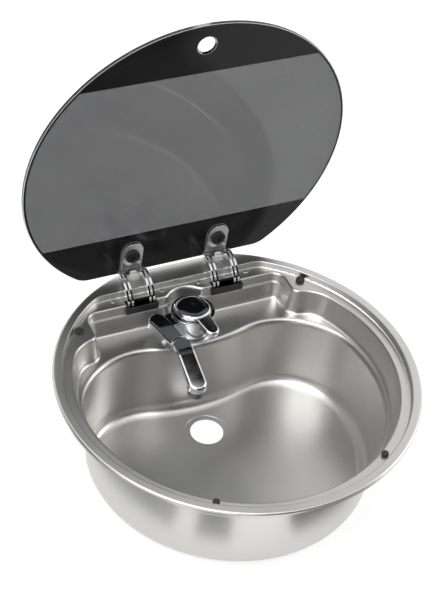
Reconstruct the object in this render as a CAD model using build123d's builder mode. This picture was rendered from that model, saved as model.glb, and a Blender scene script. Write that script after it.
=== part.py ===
from build123d import *
from math import atan2, cos, degrees, radians, sin, sqrt
import os

os.makedirs("parts", exist_ok=True)

# Round drop-in sink with a hinged glass lid and a low single-lever tap.
# Millimetres, +Z up, +Y to the rear, origin at the centre of the base's underside.
# Names ending in _z are heights. In the pressing and lid, sizes ending in _drop are measured down from
# the rim's top, and in the hinge wells from the pivot.
# Each radius and rear edge of the pressing is set in from the one before it, starting at the rim.

# Steel pressing
sheet = 1.0
depth = 136.0
rim_radius = 210.0
rim_cut = 12.0
rim_corner = 30.0
rim_band = 11.5
rim_rear_band = 30.0
rim_lip = 3.5
rim_round = 3.0
rim_inner_round = 1.5
recess_drop = 8.0
recess_corner = 26.0
ledge_width = 12.8
pocket_inset = 58.0
bay_margin = 1.2
bay_corner = 14.0
bay_blend = 10.0
deck_width = 17.0
shelf_step = 3.5
trough_drop = 18.7
tap_deck_drop = 40.0
bulge_radius = 28.0
bulge_reach = 11.0
upper_draft = 8.35
bowl_inset = 12.2
lobe_x = 84.0
lobe_inset = 47.5
dip_inset = 59.0
bowl_draft = 4.0
bowl_round = 13.0
shoulder_round = 6.5
ledge_round = 3.0
foot_round = 5.0
recess_foot_round = 1.5
waste_x = -8.0
waste_y = 40.0
waste_radius = 20.0
waste_seat_radius = 26.5
waste_seat_depth = 0.4
seal_gap = 0.3
seal_stand = 0.5

# Glass lid
lid_corner = 27.0
lid_thickness = 4.0
lid_gap = 1.5
lid_rear_gap = 8.6
lid_drop = 4.0
lid_open = 84.4
finger_hole_inset = 27.4
finger_hole_radius = 10.0
finger_hole_chamfer = 1.5
lid_edge_round = 0.8
buffer_inset = 7.0
buffer_angles = (41.4, 138.6, -58.0, -122.0)
buffer_rear = 5.25
buffer_front = 4.0
buffer_height = 3.7
buffer_round = 0.6
buffer_stem = 2.4
buffer_fit = 0.1
buffer_barb = 3.2
buffer_barb_height = 1.5

# Hinges. Sizes across a hinge are measured from its middle.
hinge_x = 55.5
pivot_setback = 13.7
pivot_drop = 17.5
pin_radius = 3.0
pin_head = 4.6
pin_head_height = 1.2
turn_gap = 0.05
side_gap = 0.1
arm_inner = 25.8
arm_outer = 32.5
arm_start_angle = 88.0
arm_end_angle = 190.0
arm_web = 9.0
arm_web_angle = 184.0
arm_hub = 6.0
arm_head = 3.8
arm_plate = 2.5
arm_pair_inner = 10.0
arm_pair_outer = 15.0
rod_radius = 2.0
rod_reach = 29.0
rod_overhang = 0.3
leaf_width = 26.0
leaf_foot = 1.5
leaf_top = 50.0
leaf_thickness = 2.5
leaf_pad = 1.0
strip_foot = 7.0
strip_thickness = 3.0
strip_front = 13.5
strip_half = 17.5
strip_notch = 5.3
screw_s = 30.0
screw_radius = 3.0
screw_fit = 0.2
screw_head_radius = 9.0
screw_head_height = 3.0
screw_head_round = 0.8
screw_socket = 4.2
screw_socket_depth = 2.0
disc_radius = 11.0
disc_thickness = 2.2
disc_cover = 1.0
disc_round = 0.8
disc_boss_radius = 4.6
disc_boss_gap = 0.8
glass_hole_radius = 6.0
sleeve_gap = 0.1
base_plate = 1.6
base_half = 36.0
base_gap = 0.6
base_corner = 5.0
ear_thickness = 2.0
ear_radius = 6.5
ear_inner = 7.3
ear_outer = 18.2
washer_radius = 5.5
rivet_offset = 31.5
rivet_inset = 2.9
rivet_radius = 1.95
rivet_head_radius = 3.0
rivet_head_height = 0.9
rivet_head_round = 0.6
opening_half = 19.2
opening_step = 2.7
opening_depth = 11.7
opening_fit = 0.1
guard_wall = 1.1
guard_half = 20.4
guard_reach = 1.7
guard_height = 9.0
guard_depth = 15.0
guard_lip = 3.4
well_half = 22.0
well_wall = 1.2
well_flange = 1.2
well_clear = 1.5
well_setback = 0.5
well_notch = 2.5
well_lip_drop = 10.5
well_shoulder_drop = 4.0
well_rear_gap = 0.2

# Tap. Heights are over the tap deck, but _rise and _drop sizes are measured from the barrel's top, and those
# of the fork and the lever's pivot from the cartridge's top.
tap_setback = 26.0
tap_turn = 12.0
tap_hole_radius = 17.5
shank_radius = 16.5
shank_length = 35.0
inlet_radius = 4.4
inlet_depth = 14.0
inlet_offset = 7.5
waterway_radius = 3.0
gasket_thickness = 1.0
clamp_radius = 23.5
clamp_thickness = 2.0
lock_nut_flats = 40.0
lock_nut_height = 8.0
barrel_foot = 24.0
barrel_waist = 25.9
barrel_ring = 26.5
barrel_height = 27.0
collar_height = 2.0
collar_round = 0.6
cartridge_radius = 17.5
cartridge_floor = 3.0
cartridge_drop = 12.0
nut_radius = 22.1
nut_thickness = 3.5
nut_eye = 11.0
nut_notch = 1.5
nut_notch_reach = 18.0
collar_radius = 23.5
cartridge_fit = 0.1
spindle_radius = 6.0
spindle_seat = 5.0
fork_slot_rise = 1.3
fork_rise = 9.0
lever_pivot_rise = 5.0
lever_pin_radius = 1.5
tongue_half = 2.9
tongue_depth = 2.8
dome_radius = 22.0
dome_rise = 5.0
dome_shoulder_rise = 1.0
dome_skirt_drop = 3.0
dome_wall = 2.0
nose_reach = 38.0
nose_radius = 9.0
nose_root_radius = 11.0
nose_drop = 6.0
nose_rise = 4.0
nose_crest = 27.0
nose_crest_rise = 3.0
nose_tip_drop = 3.5
nose_clear = 1.5
nose_step_rise = 0.8
nose_round = 3.0
side_x = -45.5
side_half = 11.25
side_front = -41.5
side_back = 8.0
side_bottom = 14.0
side_top = 27.5
side_round = 3.5
side_foot_round = 2.0
neck_front = -8.0
neck_back = 12.0
neck_inner = -21.0
neck_bottom = 15.0
neck_drop = 3.0
seat_gap = 0.9
lug_top = 19.4
spout_rest = -15.0
spout_underside = 19.8
spout_reach = 51.5
spout_tip_radius = 11.6
spout_clear = 1.0
spout_crest = 9.0
spout_fall = 0.26
spout_tip_underside = 11.0
spout_foot = 6.0
spout_bend = 60.0
spout_round = 3.5
ring_inner = 5.0
ring_outer = 9.5
ring_gap = 0.1
swivel_radius = 4.0
swivel_head = 6.5
swivel_head_height = 2.0
swivel_top = 25.0
swivel_socket = 3.0
swivel_socket_depth = 1.2
aerator_radius = 9.8
aerator_height = 11.0
aerator_round = 0.8
aerator_mouth = 7.9
aerator_mouth_depth = 8.0
aerator_bore = 5.0
aerator_thread = 8.0
aerator_thread_height = 4.0
strainer_inset = 1.0
strainer_thickness = 3.0
strainer_hole = 0.9
strainer_spacing = 2.8

# Heights and frames worked out from the sizes above
rim_z = depth
recess_z = rim_z - recess_drop
trough_z = rim_z - trough_drop
tap_deck_z = rim_z - tap_deck_drop
pivot_z = rim_z - pivot_drop
rim_chord = rim_radius - rim_cut
recess_radius = rim_radius - rim_band
recess_chord = rim_chord - rim_rear_band
well_radius = recess_radius - ledge_width
bowl_radius = well_radius - bowl_inset
pocket_chord = recess_chord - pocket_inset
deck_edge = recess_chord - deck_width
shelf_edge = deck_edge - shelf_step
bay_half = sqrt((recess_radius - bay_margin) ** 2 - deck_edge**2)
# The pocket's corner arcs end where the bay's sides begin.
pocket_corner = (well_radius**2 - bay_half**2 - pocket_chord**2) / (2 * (well_radius - pocket_chord))
bulge_y = deck_edge + bulge_reach - bulge_radius
lobe_y = deck_edge - lobe_inset
dip_y = deck_edge - dip_inset
tap_y = deck_edge - tap_setback
opening_front = deck_edge - opening_step
opening_rear = opening_front + opening_depth
guard_front = opening_front - guard_reach
base_front = opening_rear + base_gap
rivet_y = base_front + rivet_inset
rivet_grip = sheet + base_plate + well_flange
pivot_y = recess_chord + pivot_setback
lid_radius = recess_radius - lid_gap
lid_chord = recess_chord - lid_rear_gap
finger_hole_s = lid_chord + lid_radius - finger_hole_inset
buffer_circle = recess_radius - buffer_inset
leaf_face = leaf_pad + leaf_thickness
strip_top = strip_foot + strip_thickness
hinge_sides = (("left", -hinge_x), ("right", hinge_x))
screw_places = [(x, screw_s) for side, x in hinge_sides]
rivet_places = [(x + shift, rivet_y) for side, x in hinge_sides for shift in (-rivet_offset, rivet_offset)]
arm_pair_end = arm_pair_outer + arm_plate
arm_starts = (-arm_pair_end, -arm_pair_inner - arm_plate, arm_pair_inner, arm_pair_outer)
lug_start = arm_pair_inner + arm_plate + side_gap
lug_end = arm_pair_outer - side_gap
slot_width = arm_plate + 2 * side_gap
slot_middle = arm_pair_inner + arm_plate / 2
washer_spans = (
    (ear_inner + ear_thickness, arm_pair_inner - side_gap),
    (lug_start, lug_end),
    (arm_pair_end + side_gap, ear_outer),
)
base_rear = pivot_y + ear_radius
cheek_middle = opening_half - opening_fit - guard_wall / 2
guard_rear_face = opening_front + 2 * opening_fit
cheek_length = opening_rear - opening_front - 2 * opening_fit
well_front = shelf_edge - well_setback - pivot_y
well_shoulder = deck_edge + well_notch - pivot_y
well_rear = ear_radius + well_rear_gap
well_top = recess_z - sheet - base_plate - pivot_z
well_floor = -arm_outer - well_clear

cartridge_top = barrel_height - cartridge_drop
fork_slot = cartridge_top + fork_slot_rise
fork_top = cartridge_top + fork_rise
lever_pivot = cartridge_top + lever_pivot_rise
dome_top = barrel_height + dome_rise
dome_shoulder = barrel_height + dome_shoulder_rise
dome_skirt = barrel_height - dome_skirt_drop
nose_bottom = barrel_height - nose_drop
nose_top = barrel_height + nose_rise
nose_crest_height = barrel_height + nose_crest_rise
nose_step_radius = barrel_ring + nose_clear
nose_step = barrel_height + nose_step_rise
neck_top = barrel_height - neck_drop
seat_radius = side_half + seat_gap
spout_level = side_half + spout_clear

pivot = Location((0, pivot_y, pivot_z))
lid_swing = pivot * Rotation(-lid_open, 0, 0) * pivot.inverse()
closed_underside = Plane(origin=(0, lid_chord, rim_z - lid_drop), x_dir=(1, 0, 0), z_dir=(0, 0, -1))
# Lid frame: x along the chord, y away from it over the glass, z out of the glass's underside.
lid_plane = Plane(lid_swing * closed_underside.location)
rod_place = lid_plane.to_local_coords(Vector(0, pivot_y, pivot_z + rod_reach))
head_back = rod_place.Z - arm_head - side_gap

tap_plane = Plane(origin=(0, tap_y, tap_deck_z), x_dir=(cos(radians(tap_turn)), sin(radians(tap_turn)), 0))
spout_origin = tap_plane.from_local_coords(Vector(side_x, side_front, 0))
spout_turn = radians(tap_turn + spout_rest)
spout_plane = Plane(origin=spout_origin, x_dir=(cos(spout_turn), sin(spout_turn), 0))


def save(piece, name):
    """Label a finished piece and write it as a STEP file."""
    piece.part.label = name
    export_step(piece.part, f"parts/{name}.step")


def side_plane(x):
    """Plane across a hinge at x, with its origin on the pivot, its x to the rear and its y up."""
    return Plane(origin=(x, pivot_y, pivot_z), x_dir=(0, 1, 0), z_dir=(1, 0, 0))


def upright(frame):
    """Upright plane through a frame's origin, with its x along the frame's y and its y up."""
    return Plane(origin=frame.origin, x_dir=frame.y_dir, z_dir=frame.x_dir)


def tap_local(edge):
    """Middle of an edge in the tap's frame."""
    return tap_plane.to_local_coords(edge.center())


def spout_height(point):
    return spout_plane.to_local_coords(point).Z


def spout_top_at(point):
    """Height of the spout's top over the deck at a point's distance along it."""
    along = -spout_plane.to_local_coords(point).Y
    return side_top - spout_fall * max(0, along - spout_crest)


def on_circle(centre, radius, angle):
    return (centre[0] + radius * cos(radians(angle)), centre[1] + radius * sin(radians(angle)))


buffer_places = [on_circle((0, 0), buffer_circle, angle) for angle in buffer_angles]


def d_outline(radius, chord, corner):
    """Circle cut straight at the rear, with its two corners rounded."""
    with BuildSketch() as outline:
        Circle(radius)
        with Locations((0, chord)):
            Rectangle(2 * radius, 2 * radius, align=(Align.CENTER, Align.MAX), mode=Mode.INTERSECT)
        fillet(outline.vertices().sort_by(Axis.Y)[-2:], corner)
    return outline.sketch


def upper_outline(rear):
    """Basin's outline at the ledge: the round well, the tap's bay behind it and the bulge round the tap."""
    with BuildSketch() as outline:
        add(d_outline(well_radius, pocket_chord, pocket_corner))
        Rectangle(2 * bay_half, rear, align=(Align.CENTER, Align.MIN))
        with Locations((0, bulge_y)):
            Circle(bulge_radius)
        rear_line = outline.vertices().filter_by(lambda v: abs(v.Y - rear) < 0.01)
        fillet(rear_line.filter_by(lambda v: abs(v.X) > bulge_radius), bay_corner)
        necks = outline.vertices().filter_by(lambda v: abs(v.Y - rear) < 0.01 and abs(v.X) < bulge_radius)
        fillet(necks, bay_blend)
        hollows = outline.vertices().filter_by(
            lambda v: abs(abs(v.X) - bay_half) < 0.01 and abs(v.Y - pocket_chord) < 0.01
        )
        fillet(hollows, bay_blend)
    return outline.sketch


def bowl_outline():
    """Bowl's outline at the tap deck: a circle, a lobe each side and a shallow dip forward between them."""
    lobe_radius = (bowl_radius**2 - lobe_x**2 - lobe_y**2) / (2 * (bowl_radius - lobe_y))
    lobe = (lobe_x, lobe_y - lobe_radius)
    rise = dip_y - lobe[1]
    dip_radius = (lobe_x**2 + rise**2 - lobe_radius**2) / (2 * (lobe_radius - rise))
    dip = (0, dip_y + dip_radius)
    side = degrees(atan2(lobe[1], lobe[0]))
    neck = degrees(atan2(dip[1] - lobe[1], -lobe[0]))
    front = (0, -bowl_radius)
    side_point = on_circle(lobe, lobe_radius, side)
    neck_point = on_circle(lobe, lobe_radius, neck)
    with BuildSketch() as outline:
        with BuildLine():
            ThreePointArc(front, on_circle((0, 0), bowl_radius, (side - 90) / 2), side_point)
            ThreePointArc(side_point, on_circle(lobe, lobe_radius, (side + neck) / 2), neck_point)
            ThreePointArc(neck_point, on_circle(dip, dip_radius, (neck - 270) / 2), (0, dip_y))
            mirror(about=Plane.YZ)
        make_face()
    return outline.sketch


def grown(outline, amount):
    return offset(outline, amount, mode=Mode.PRIVATE) if amount else outline


def level_faces(part, height):
    """Flat faces of a part at one height."""
    return part.faces().filter_by(Axis.Z).filter_by_position(Axis.Z, height - 0.01, height + 0.01)


def basin(grow):
    """Air held by the pressing. Grown by the sheet's thickness, it is the steel's outer skin."""
    with BuildPart() as space:
        with BuildSketch(Plane.XY.offset(recess_z - grow)):
            add(grown(d_outline(recess_radius, recess_chord, recess_corner), grow))
        extrude(amount=recess_drop + grow)
        with BuildSketch(Plane.XY.offset(recess_z)):
            add(grown(upper_outline(deck_edge), grow))
        extrude(amount=-(recess_z - trough_z + grow), taper=upper_draft)
        with BuildSketch(Plane.XY.offset(recess_z)):
            add(grown(upper_outline(shelf_edge), grow))
        extrude(amount=-(recess_z - tap_deck_z + grow), taper=upper_draft)
        with BuildSketch(Plane.XY.offset(tap_deck_z)):
            add(grown(bowl_outline(), grow))
        extrude(amount=-(tap_deck_z - sheet + grow), taper=bowl_draft)
        fillet(space.edges().group_by(Axis.Z)[0], bowl_round + grow)
        tap_deck = level_faces(space, tap_deck_z - grow)[0]
        fillet(tap_deck.inner_wires()[0].edges(), shoulder_round - grow)
        tap_deck = level_faces(space, tap_deck_z - grow)[0]
        feet = tap_deck.outer_wire().edges()
        fillet(feet.filter_by(lambda e: e.center().Y > pocket_chord + bay_blend), foot_round + grow)
        ledge = level_faces(space, recess_z - grow)[0]
        fillet(ledge.inner_wires()[0].edges(), ledge_round - grow)
        ledge = level_faces(space, recess_z - grow)[0]
        fillet(ledge.outer_wire().edges(), recess_foot_round + grow)
    return space.part


# Sink bowl: one pressing, drawn as its outer skin less the air it holds
air = basin(0)
skin = basin(sheet)
rim_outline = d_outline(rim_radius, rim_chord, rim_corner)
recess_outline = d_outline(recess_radius, recess_chord, recess_corner)
with BuildPart() as flange_space:
    with BuildSketch(Plane.XY.offset(rim_z - rim_lip)):
        add(grown(rim_outline, -sheet))
    extrude(amount=rim_lip - sheet)
    fillet(level_faces(flange_space, rim_z - sheet)[0].edges(), rim_round - sheet)
with BuildPart() as sink_bowl:
    with BuildSketch(Plane.XY.offset(rim_z - rim_lip)):
        add(rim_outline)
    extrude(amount=rim_lip)
    fillet(level_faces(sink_bowl, rim_z)[0].edges(), rim_round)
    add(flange_space.part, mode=Mode.SUBTRACT)
    add(skin)
    add(air, mode=Mode.SUBTRACT)
    fillet(level_faces(sink_bowl, rim_z)[0].inner_wires()[0].edges(), rim_inner_round)
    with Locations((waste_x, waste_y, sheet)):
        CounterBoreHole(waste_radius, waste_seat_radius, waste_seat_depth, depth=2 * sheet)
    with Locations((0, tap_y, tap_deck_z)):
        Hole(tap_hole_radius, depth=2 * sheet)
    for side, x in hinge_sides:
        with BuildSketch(Plane.XY.offset(trough_z - 2 * sheet)):
            with Locations((x, opening_front)):
                Rectangle(2 * opening_half, opening_rear - opening_front, align=(Align.CENTER, Align.MIN))
        extrude(amount=recess_z - trough_z + 3 * sheet, mode=Mode.SUBTRACT)
    with BuildSketch(Plane.XY.offset(recess_z)):
        with Locations(*rivet_places):
            Circle(rivet_radius)
        with Locations(*buffer_places):
            Circle(buffer_stem + buffer_fit)
    extrude(amount=-2 * sheet, mode=Mode.SUBTRACT)
save(sink_bowl, "sink_bowl")

# Worktop seal: foam ring under the rim, a little deeper than the turned-down lip
with BuildPart() as worktop_seal:
    with BuildSketch(Plane.XY.offset(rim_z - sheet)):
        add(grown(rim_outline, -rim_round - seal_gap))
        add(grown(recess_outline, sheet + seal_gap), mode=Mode.SUBTRACT)
    extrude(amount=-(rim_lip - sheet + seal_stand))
save(worktop_seal, "worktop_seal")

# Lid buffers: rubber plugs pushed into holes in the ledge
with BuildPart() as lid_buffers:
    with BuildSketch(Plane.XY.offset(recess_z)):
        with Locations(*buffer_places[:2]):
            Circle(buffer_rear)
        with Locations(*buffer_places[2:]):
            Circle(buffer_front)
    extrude(amount=buffer_height)
    fillet(level_faces(lid_buffers, recess_z + buffer_height).edges(), buffer_round)
    with BuildSketch(Plane.XY.offset(recess_z)):
        with Locations(*buffer_places):
            Circle(buffer_stem)
    extrude(amount=-sheet - buffer_barb_height)
    with BuildSketch(Plane.XY.offset(recess_z - sheet)):
        with Locations(*buffer_places):
            Circle(buffer_barb)
    extrude(amount=-buffer_barb_height)
save(lid_buffers, "lid_buffers")

# Lid glass: D-shaped pane with ground edges, a finger hole and two screw holes
with BuildPart() as lid_glass:
    with BuildSketch(lid_plane):
        with Locations((0, lid_chord)):
            add(d_outline(lid_radius, lid_chord, lid_corner), rotation=180)
    extrude(amount=-lid_thickness)
    fillet(lid_glass.faces().sort_by(SortBy.AREA)[-2:].edges(), lid_edge_round)
    with BuildSketch(lid_plane):
        with Locations((0, finger_hole_s)):
            Circle(finger_hole_radius)
        with Locations((-hinge_x, screw_s), (hinge_x, screw_s)):
            Circle(glass_hole_radius)
    extrude(amount=-lid_thickness, mode=Mode.SUBTRACT)
    finger_edges = lid_glass.edges().filter_by(GeomType.CIRCLE).filter_by(
        lambda e: abs(e.radius - finger_hole_radius) < 0.01 and e.is_closed
    )
    chamfer(finger_edges, finger_hole_chamfer)
save(lid_glass, "lid_glass")

# Lid screws: socket heads on the tabs, with stems through the glass into the discs' bosses
with BuildPart() as lid_screws:
    with BuildSketch(lid_plane.offset(leaf_face)):
        with Locations(*screw_places):
            Circle(screw_head_radius)
    extrude(amount=screw_head_height)
    head_tops = lid_screws.edges().sort_by(lambda e: lid_plane.to_local_coords(e.center()).Z)[-2:]
    fillet(head_tops, screw_head_round)
    with BuildSketch(lid_plane.offset(leaf_face + screw_head_height)):
        with Locations(*screw_places):
            RegularPolygon(screw_socket, 6)
    extrude(amount=-screw_socket_depth, mode=Mode.SUBTRACT)
    with BuildSketch(lid_plane.offset(leaf_face)):
        with Locations(*screw_places):
            Circle(screw_radius)
    extrude(amount=-(leaf_face + lid_thickness + disc_cover))
save(lid_screws, "lid_screws")

# Lid discs: covers on the glass's outer face, with threaded bosses in the glass holes
with BuildPart() as lid_discs:
    with BuildSketch(lid_plane.offset(-lid_thickness)):
        with Locations(*screw_places):
            Circle(disc_radius)
    extrude(amount=-disc_thickness)
    disc_rims = lid_discs.edges().sort_by(lambda e: lid_plane.to_local_coords(e.center()).Z)[:2]
    fillet(disc_rims, disc_round)
    with BuildSketch(lid_plane.offset(-lid_thickness)):
        with Locations(*screw_places):
            Circle(disc_boss_radius)
    extrude(amount=lid_thickness - disc_boss_gap)
    with BuildSketch(lid_plane):
        with Locations(*screw_places):
            Circle(screw_radius)
    extrude(amount=-(lid_thickness + disc_cover), mode=Mode.SUBTRACT)
save(lid_discs, "lid_discs")

# Lid sleeves: soft rings between the bosses and the glass
with BuildPart() as lid_sleeves:
    with BuildSketch(lid_plane):
        with Locations(*screw_places):
            Circle(glass_hole_radius - sleeve_gap)
            Circle(disc_boss_radius + sleeve_gap, mode=Mode.SUBTRACT)
    extrude(amount=-lid_thickness)
save(lid_sleeves, "lid_sleeves")

# Hinges: the same set of pieces left and right
with BuildSketch() as tab_outline:
    with Locations((0, -leaf_foot)):
        Rectangle(leaf_width, leaf_top - leaf_width / 2 + leaf_foot, align=(Align.CENTER, Align.MIN))
    with Locations((0, leaf_top - leaf_width / 2)):
        Circle(leaf_width / 2)
    with Locations((0, screw_s)):
        Circle(screw_radius + screw_fit, mode=Mode.SUBTRACT)

arm_start = on_circle((0, 0), 2 * arm_outer, arm_start_angle)
arm_end = on_circle((0, 0), 2 * arm_outer, arm_end_angle)
with BuildSketch() as arm_outline:
    Circle(arm_outer)
    Circle(arm_inner, mode=Mode.SUBTRACT)
    with BuildLine():
        Polyline((0, 0), arm_start, arm_end, close=True)
    make_face(mode=Mode.INTERSECT)
    Circle(arm_hub)
    Rectangle(rod_reach, arm_web, rotation=arm_web_angle, align=(Align.MIN, Align.CENTER))
    with Locations((0, rod_reach)):
        Circle(arm_head)
        Circle(rod_radius, mode=Mode.SUBTRACT)
    Circle(pin_radius + turn_gap, mode=Mode.SUBTRACT)

for side, x in hinge_sides:
    with BuildPart() as leaf_pad_part:
        with BuildSketch(lid_plane):
            with Locations((x, 0)):
                add(tab_outline.sketch)
        extrude(amount=leaf_pad)
    save(leaf_pad_part, f"leaf_pad_{side}")

    strip_origin = lid_plane.from_local_coords(Vector(x, strip_top, 0))
    strip_plane = Plane(origin=strip_origin, x_dir=(1, 0, 0), z_dir=-lid_plane.y_dir)
    with BuildPart() as hinge_leaf:
        with BuildSketch(lid_plane.offset(leaf_pad)):
            with Locations((x, 0)):
                add(tab_outline.sketch)
        extrude(amount=leaf_thickness)
        with BuildSketch(strip_plane):
            with Locations((0, leaf_pad)):
                Rectangle(2 * strip_half, head_back - leaf_pad, align=(Align.CENTER, Align.MIN))
                Rectangle(2 * lug_end, strip_front - leaf_pad, align=(Align.CENTER, Align.MIN))
            for slot_x in (-slot_middle, slot_middle):
                with Locations((slot_x, head_back)):
                    Rectangle(slot_width, strip_front, align=(Align.CENTER, Align.MIN), mode=Mode.SUBTRACT)
            with Locations((0, strip_front)):
                Circle(strip_notch, mode=Mode.SUBTRACT)
        extrude(amount=strip_thickness)
        for start in (-lug_end, lug_start):
            with BuildSketch(side_plane(x + start)):
                with Locations((0, rod_reach)):
                    Circle(arm_head)
            extrude(amount=lug_end - lug_start)
        with BuildSketch(side_plane(x - strip_half)):
            with Locations((0, rod_reach)):
                Circle(rod_radius)
        extrude(amount=strip_half - slot_middle, mode=Mode.SUBTRACT)
        with BuildSketch(side_plane(x + slot_middle)):
            with Locations((0, rod_reach)):
                Circle(rod_radius)
        extrude(amount=strip_half - slot_middle, mode=Mode.SUBTRACT)
    save(hinge_leaf, f"hinge_leaf_{side}")

    with BuildPart() as arm_pins:
        for start in (-arm_pair_outer - arm_plate - rod_overhang, arm_pair_inner):
            with BuildSketch(side_plane(x + start)):
                with Locations((0, rod_reach)):
                    Circle(rod_radius)
            extrude(amount=arm_pair_outer + arm_plate + rod_overhang - arm_pair_inner)
    save(arm_pins, f"arm_pins_{side}")

    with BuildPart() as hinge_arms:
        for start in arm_starts:
            with BuildSketch(side_plane(x + start)):
                add(arm_outline.sketch)
            extrude(amount=arm_plate)
    save(hinge_arms, f"hinge_arms_{side}")

    with BuildPart() as hinge_base:
        with BuildSketch(Plane.XY.offset(recess_z - sheet)) as plate:
            with Locations((x, base_front)):
                Rectangle(2 * base_half, base_rear - base_front, align=(Align.CENTER, Align.MIN))
            fillet(plate.vertices(), base_corner)
        extrude(amount=-base_plate)
        for start in (-ear_outer - ear_thickness, -ear_inner - ear_thickness, ear_inner, ear_outer):
            with BuildSketch(side_plane(x + start)):
                Circle(ear_radius)
                Rectangle(2 * ear_radius, recess_z - sheet - pivot_z, align=(Align.CENTER, Align.MIN))
            extrude(amount=ear_thickness)
        with BuildSketch(side_plane(x - base_half)):
            Circle(pin_radius)
        extrude(amount=2 * base_half, mode=Mode.SUBTRACT)
        with BuildSketch(Plane.XY.offset(recess_z)):
            with Locations(*rivet_places):
                Circle(rivet_radius)
        extrude(amount=-sheet - base_plate, mode=Mode.SUBTRACT)
    save(hinge_base, f"hinge_base_{side}")

    ear_end = ear_outer + ear_thickness
    with BuildPart() as hinge_pin:
        with BuildSketch(side_plane(x - ear_end - pin_head_height)):
            Circle(pin_head)
        extrude(amount=pin_head_height)
        with BuildSketch(side_plane(x - ear_end)):
            Circle(pin_radius)
        extrude(amount=2 * ear_end)
        with BuildSketch(side_plane(x + ear_end)):
            Circle(pin_head)
        extrude(amount=pin_head_height)
    save(hinge_pin, f"hinge_pin_{side}")

    with BuildPart() as hinge_washers:
        for start, end in washer_spans:
            with BuildSketch(side_plane(x + start)):
                Circle(washer_radius)
                Circle(pin_radius, mode=Mode.SUBTRACT)
            extrude(amount=end - start)
            with BuildSketch(side_plane(x - end)):
                Circle(washer_radius)
                Circle(pin_radius, mode=Mode.SUBTRACT)
            extrude(amount=end - start)
    save(hinge_washers, f"hinge_washers_{side}")

    with BuildPart() as slot_insert:
        with BuildSketch(Plane.XY.offset(trough_z)):
            with Locations((x, guard_front)):
                Rectangle(2 * guard_half, guard_rear_face - guard_front, align=(Align.CENTER, Align.MIN))
        extrude(amount=guard_height)
        with BuildSketch(Plane.XY.offset(recess_z - opening_fit)):
            for cheek_x in (-cheek_middle, cheek_middle):
                with Locations((x + cheek_x, opening_front + opening_fit)):
                    Rectangle(guard_wall, cheek_length, align=(Align.CENTER, Align.MIN))
        extrude(amount=-guard_depth)
        with BuildSketch(Plane.XY.offset(recess_z - opening_fit)):
            with Locations((x, opening_rear - opening_fit)):
                Rectangle(2 * cheek_middle, guard_wall, align=(Align.CENTER, Align.MAX))
        extrude(amount=-guard_lip)
    save(slot_insert, f"slot_insert_{side}")

    # Well: moulded cup below the base that the arms swing down into, open at its top and upper front
    with BuildPart() as hinge_well:
        with BuildSketch(side_plane(x - well_half - well_wall)):
            with BuildLine():
                Polyline(
                    (well_front, well_floor - well_wall),
                    (well_front, -well_lip_drop),
                    (well_shoulder, -well_shoulder_drop),
                    (well_shoulder, well_top),
                    (well_rear + well_wall, well_top),
                    (well_rear + well_wall, well_floor - well_wall),
                    close=True,
                )
            make_face()
        extrude(amount=2 * (well_half + well_wall))
        with BuildSketch(side_plane(x - well_half)):
            with Locations((well_front + well_wall, well_floor)):
                Rectangle(well_rear - well_front - well_wall, well_top - well_floor, align=Align.MIN)
        extrude(amount=2 * well_half, mode=Mode.SUBTRACT)
        with BuildSketch(Plane.XY.offset(recess_z - sheet - base_plate)) as flange:
            with Locations((x, base_front)):
                Rectangle(2 * base_half, base_rear - base_front, align=(Align.CENTER, Align.MIN))
            fillet(flange.vertices(), base_corner)
            with Locations((x, base_front)):
                Rectangle(
                    2 * well_half, base_rear - base_front, align=(Align.CENTER, Align.MIN), mode=Mode.SUBTRACT
                )
            with Locations(*rivet_places):
                Circle(rivet_radius, mode=Mode.SUBTRACT)
        extrude(amount=-well_flange)
    save(hinge_well, f"hinge_well_{side}")

# Hinge rivets: through the deck, the bases below it and the wells' flanges
with BuildPart() as hinge_rivets:
    with BuildSketch(Plane.XY.offset(recess_z)):
        with Locations(*rivet_places):
            Circle(rivet_head_radius)
    extrude(amount=rivet_head_height)
    fillet(level_faces(hinge_rivets, recess_z + rivet_head_height).edges(), rivet_head_round)
    with BuildSketch(Plane.XY.offset(recess_z)):
        with Locations(*rivet_places):
            Circle(rivet_radius)
    extrude(amount=-rivet_grip)
    with BuildSketch(Plane.XY.offset(recess_z - rivet_grip)):
        with Locations(*rivet_places):
            Circle(rivet_head_radius)
    extrude(amount=-rivet_head_height)
save(hinge_rivets, "hinge_rivets")

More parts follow.
